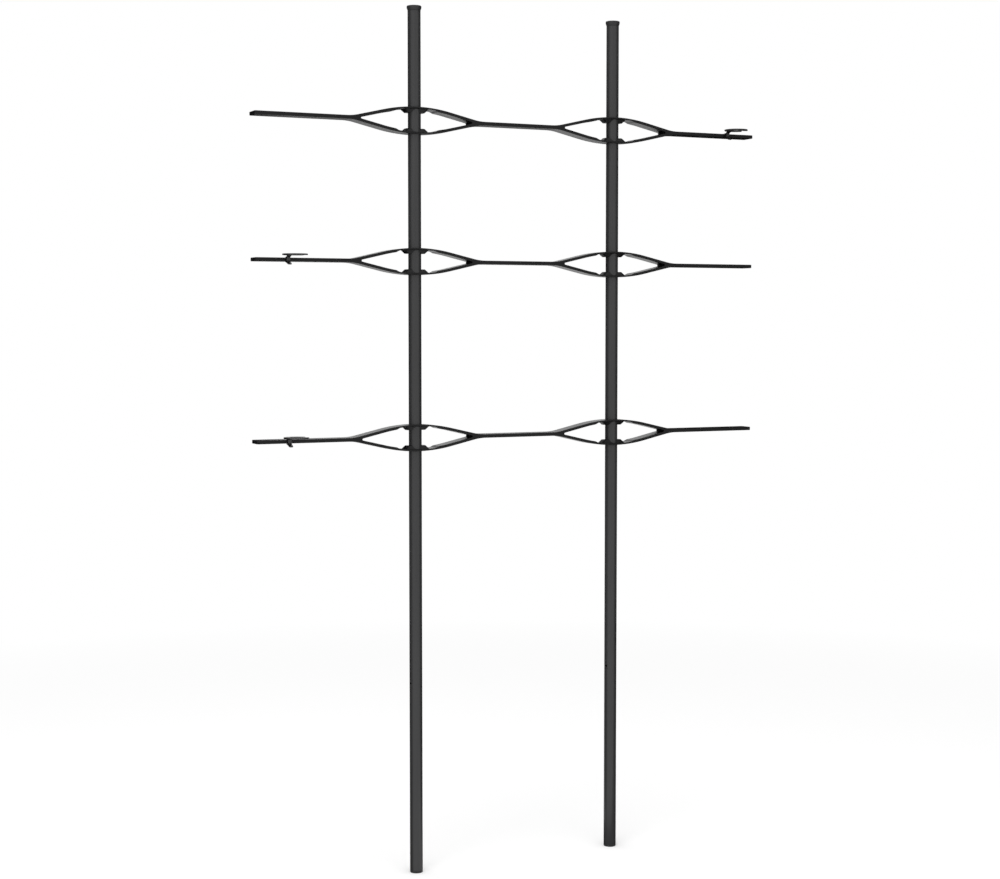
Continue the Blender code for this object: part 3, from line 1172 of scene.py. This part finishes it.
    def shape(self) -> Solid:
        """Mould the strap and unite it with the ring.

        Returns:
            The clip, in place.
        """
        low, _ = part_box(self.node)
        bar_low, bar_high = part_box(self.body.replace("plant_clip", "crossbar"))
        front = -self.bar_depth / 2
        upright = Matrix(((0, 0, -1, 0), (-1, 0, 0, front), (0, 1, 0, 0), (0, 0, 0, 1)))
        strap = moved(self.strap_solid(), upright)
        ring = rounded_plate([self.ring()], self.ring_thickness, self.ring_rounding)
        middle = self.underside + self.ring_thickness / 2
        moved(ring, Matrix.Translation((self.ring_offset, front - self.ring_reach, middle)))
        clip = combined(ring, [(Join.UNION, strap)])
        across = low.x + self.ring_radius - self.ring_offset
        return moved(clip, Matrix.Translation((across, 0, (bar_low.z + bar_high.z) / 2)))


# Studio


@dataclass
class Softbox:
    """A broad, even lamp that faces a point of the trellis."""

    name: str
    place: tuple[float, float, float]
    size: tuple[float, float]
    power: float
    aim: tuple[float, float, float] = (0.0, 0.0, 0.6)

    def hang(self) -> None:
        """Put the lamp in the scene."""
        lamp = bpy.data.lights.new(self.name, "AREA")
        lamp.shape = "RECTANGLE"
        lamp.size, lamp.size_y = self.size
        lamp.energy = self.power
        obj = added(self.name, lamp)
        obj.visible_glossy = False
        obj.location = self.place
        obj.rotation_euler = (Vector(self.aim) - Vector(self.place)).to_track_quat("-Z", "Y").to_euler()
        LOG.info("%s: %.0f W", self.name, self.power)


@dataclass
class Flag:
    """A black card curved round the trellis, which shows only in reflections and darkens edges."""

    name: str
    start: float
    end: float
    radius: float = 1.3
    low: float = 0.002
    high: float = 2.2
    foot: float = 0.0
    black: Color = (0.004, 0.004, 0.004)
    steps: int = 24

    def stand(self) -> None:
        """Put the card in the scene; its angles run from the front, and to the right."""
        mesh = bmesh.new()
        profile = [(self.radius, self.low), (self.radius, self.high)]
        if self.foot:
            profile.insert(0, (self.foot, self.low))
        rows = []
        for step in range(self.steps + 1):
            angle = math.radians(self.start + (self.end - self.start) * step / self.steps)
            across, ahead = math.sin(angle), math.cos(angle)
            places = [(reach * across, -reach * ahead, height) for reach, height in profile]
            rows.append([mesh.verts.new(place) for place in places])
        for row, following in zip(rows, rows[1:]):
            for index in range(len(profile) - 1):
                mesh.faces.new((row[index], following[index], following[index + 1], row[index + 1]))
        card = added(self.name, baked(mesh, self.name))
        card.visible_camera = False
        card.visible_diffuse = False
        card.visible_shadow = False
        card.visible_transmission = False
        material, board = blank_material(self.name)
        board.show(board.join("ShaderNodeBsdfDiffuse", self.black).outputs[0])
        card.data.materials.append(material)
        LOG.info("%s: %.0f to %.0f degrees", self.name, self.start, self.end)


@dataclass
class Studio:
    """White surroundings, a pale floor, soft lamps and three black cards."""

    ambient: float = 0.55
    floor_size: float = 60.0
    floor_color: Color = (0.95, 0.95, 0.95)
    floor_lift: float = 0.1
    near: float = 0.7
    far: float = 2.1
    lamps: list[Softbox] = field(default_factory=lambda: [
        Softbox("front_left_softbox", place=(-3.0, -3.0, 1.9), size=(2.4, 2.4), power=40.0),
        Softbox("overhead_softbox", place=(-0.3, -0.5, 3.6), size=(2.6, 2.6), power=68.0),
    ])
    flags: list[Flag] = field(default_factory=lambda: [
        Flag("left_flag", start=-184.0, end=-88.0, foot=0.01),
        Flag("right_flag", start=48.0, end=143.0, foot=0.01),
        Flag("low_back_flag", start=110.0, end=200.0, radius=8.0, high=1.35, foot=5.2),
    ])

    def surround(self) -> None:
        """Make the world: plain white where it is seen or mirrored, and dimmer as light."""
        world = bpy.data.worlds.new("studio_surroundings")
        world.use_nodes = True
        bpy.context.scene.world = world
        board = NodeBoard(world.node_tree)
        light = board.join("ShaderNodeBackground", WHITE, self.ambient)
        white = board.join("ShaderNodeBackground", WHITE, 1.0)
        mix = board.join("ShaderNodeMixShader", board.looking_rays(), light.outputs[0], white.outputs[0])
        board.show(mix.outputs[0], "ShaderNodeOutputWorld")

    def lay_floor(self) -> None:
        """Lay a pale floor that keeps the shadow near the posts and fades to the white beyond."""
        mesh = bmesh.new()
        bmesh.ops.create_grid(mesh, x_segments=8, y_segments=8, size=self.floor_size / 2)
        floor = added("studio_floor", baked(mesh, "studio_floor"))
        material, board = blank_material("pale_floor")
        where = board.add("ShaderNodeTexCoord").outputs["Object"]
        distance = board.join("ShaderNodeVectorMath", where, operation="LENGTH").outputs["Value"]
        beyond = board.spread(distance, 0.0, 1.0, (self.near, self.far))
        looking = board.looking_rays()
        share = board.maths("MULTIPLY", beyond, looking)
        lift = board.maths("MULTIPLY", looking, self.floor_lift)
        matte = board.join("ShaderNodeBsdfDiffuse", self.floor_color)
        glow = board.join("ShaderNodeEmission", WHITE, lift)
        near = board.join("ShaderNodeAddShader", matte.outputs[0], glow.outputs[0])
        white = board.join("ShaderNodeEmission", WHITE, 1.0)
        mix = board.join("ShaderNodeMixShader", share, near.outputs[0], white.outputs[0])
        board.show(mix.outputs[0])
        floor.data.materials.append(material)

    def set_up(self) -> None:
        """Set the whole studio up."""
        self.surround()
        self.lay_floor()
        for lamp in self.lamps:
            lamp.hang()
        for flag in self.flags:
            flag.stand()


@dataclass(frozen=True)
class Camera:
    """The camera at the photograph's place, measured from the posts and crossbars."""

    place: tuple[float, float, float] = (-1.12556, -2.31138, 0.74747)
    heading: float = math.radians(25.484)
    dip: float = math.radians(3.590)
    lens: float = 67.297
    sensor: float = 36.0
    nearest: float = 0.05
    furthest: float = 200.0

    def aim(self) -> None:
        """Put the camera in the scene and make it the scene's own."""
        data = bpy.data.cameras.new("camera")
        data.lens = self.lens
        data.sensor_width = self.sensor
        data.clip_start = self.nearest
        data.clip_end = self.furthest
        obj = added("camera", data)
        obj.location = self.place
        obj.rotation_euler = (QUARTER - self.dip, 0.0, -self.heading)
        bpy.context.scene.camera = obj


def corners(box: tuple[Vector, Vector]) -> list[list[float]]:
    """A box's two corners as plain lists."""
    return [list(corner) for corner in box]


def main() -> None:
    """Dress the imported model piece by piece, and set up the studio and the camera."""
    logging.basicConfig(level=logging.INFO, format="%(name)s: %(message)s")
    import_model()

    bpy.context.scene.view_settings.view_transform = "Standard"
    Camera().aim()
    Studio().set_up()
    for side in Side:
        for kind in (Post, TopCap, BottomPlug):
            kind.on(side).place()
    for level in Level:
        Crossbar.at(level).place()
        PlantClip.at(level).place()


if __name__ == "__main__":
    main()
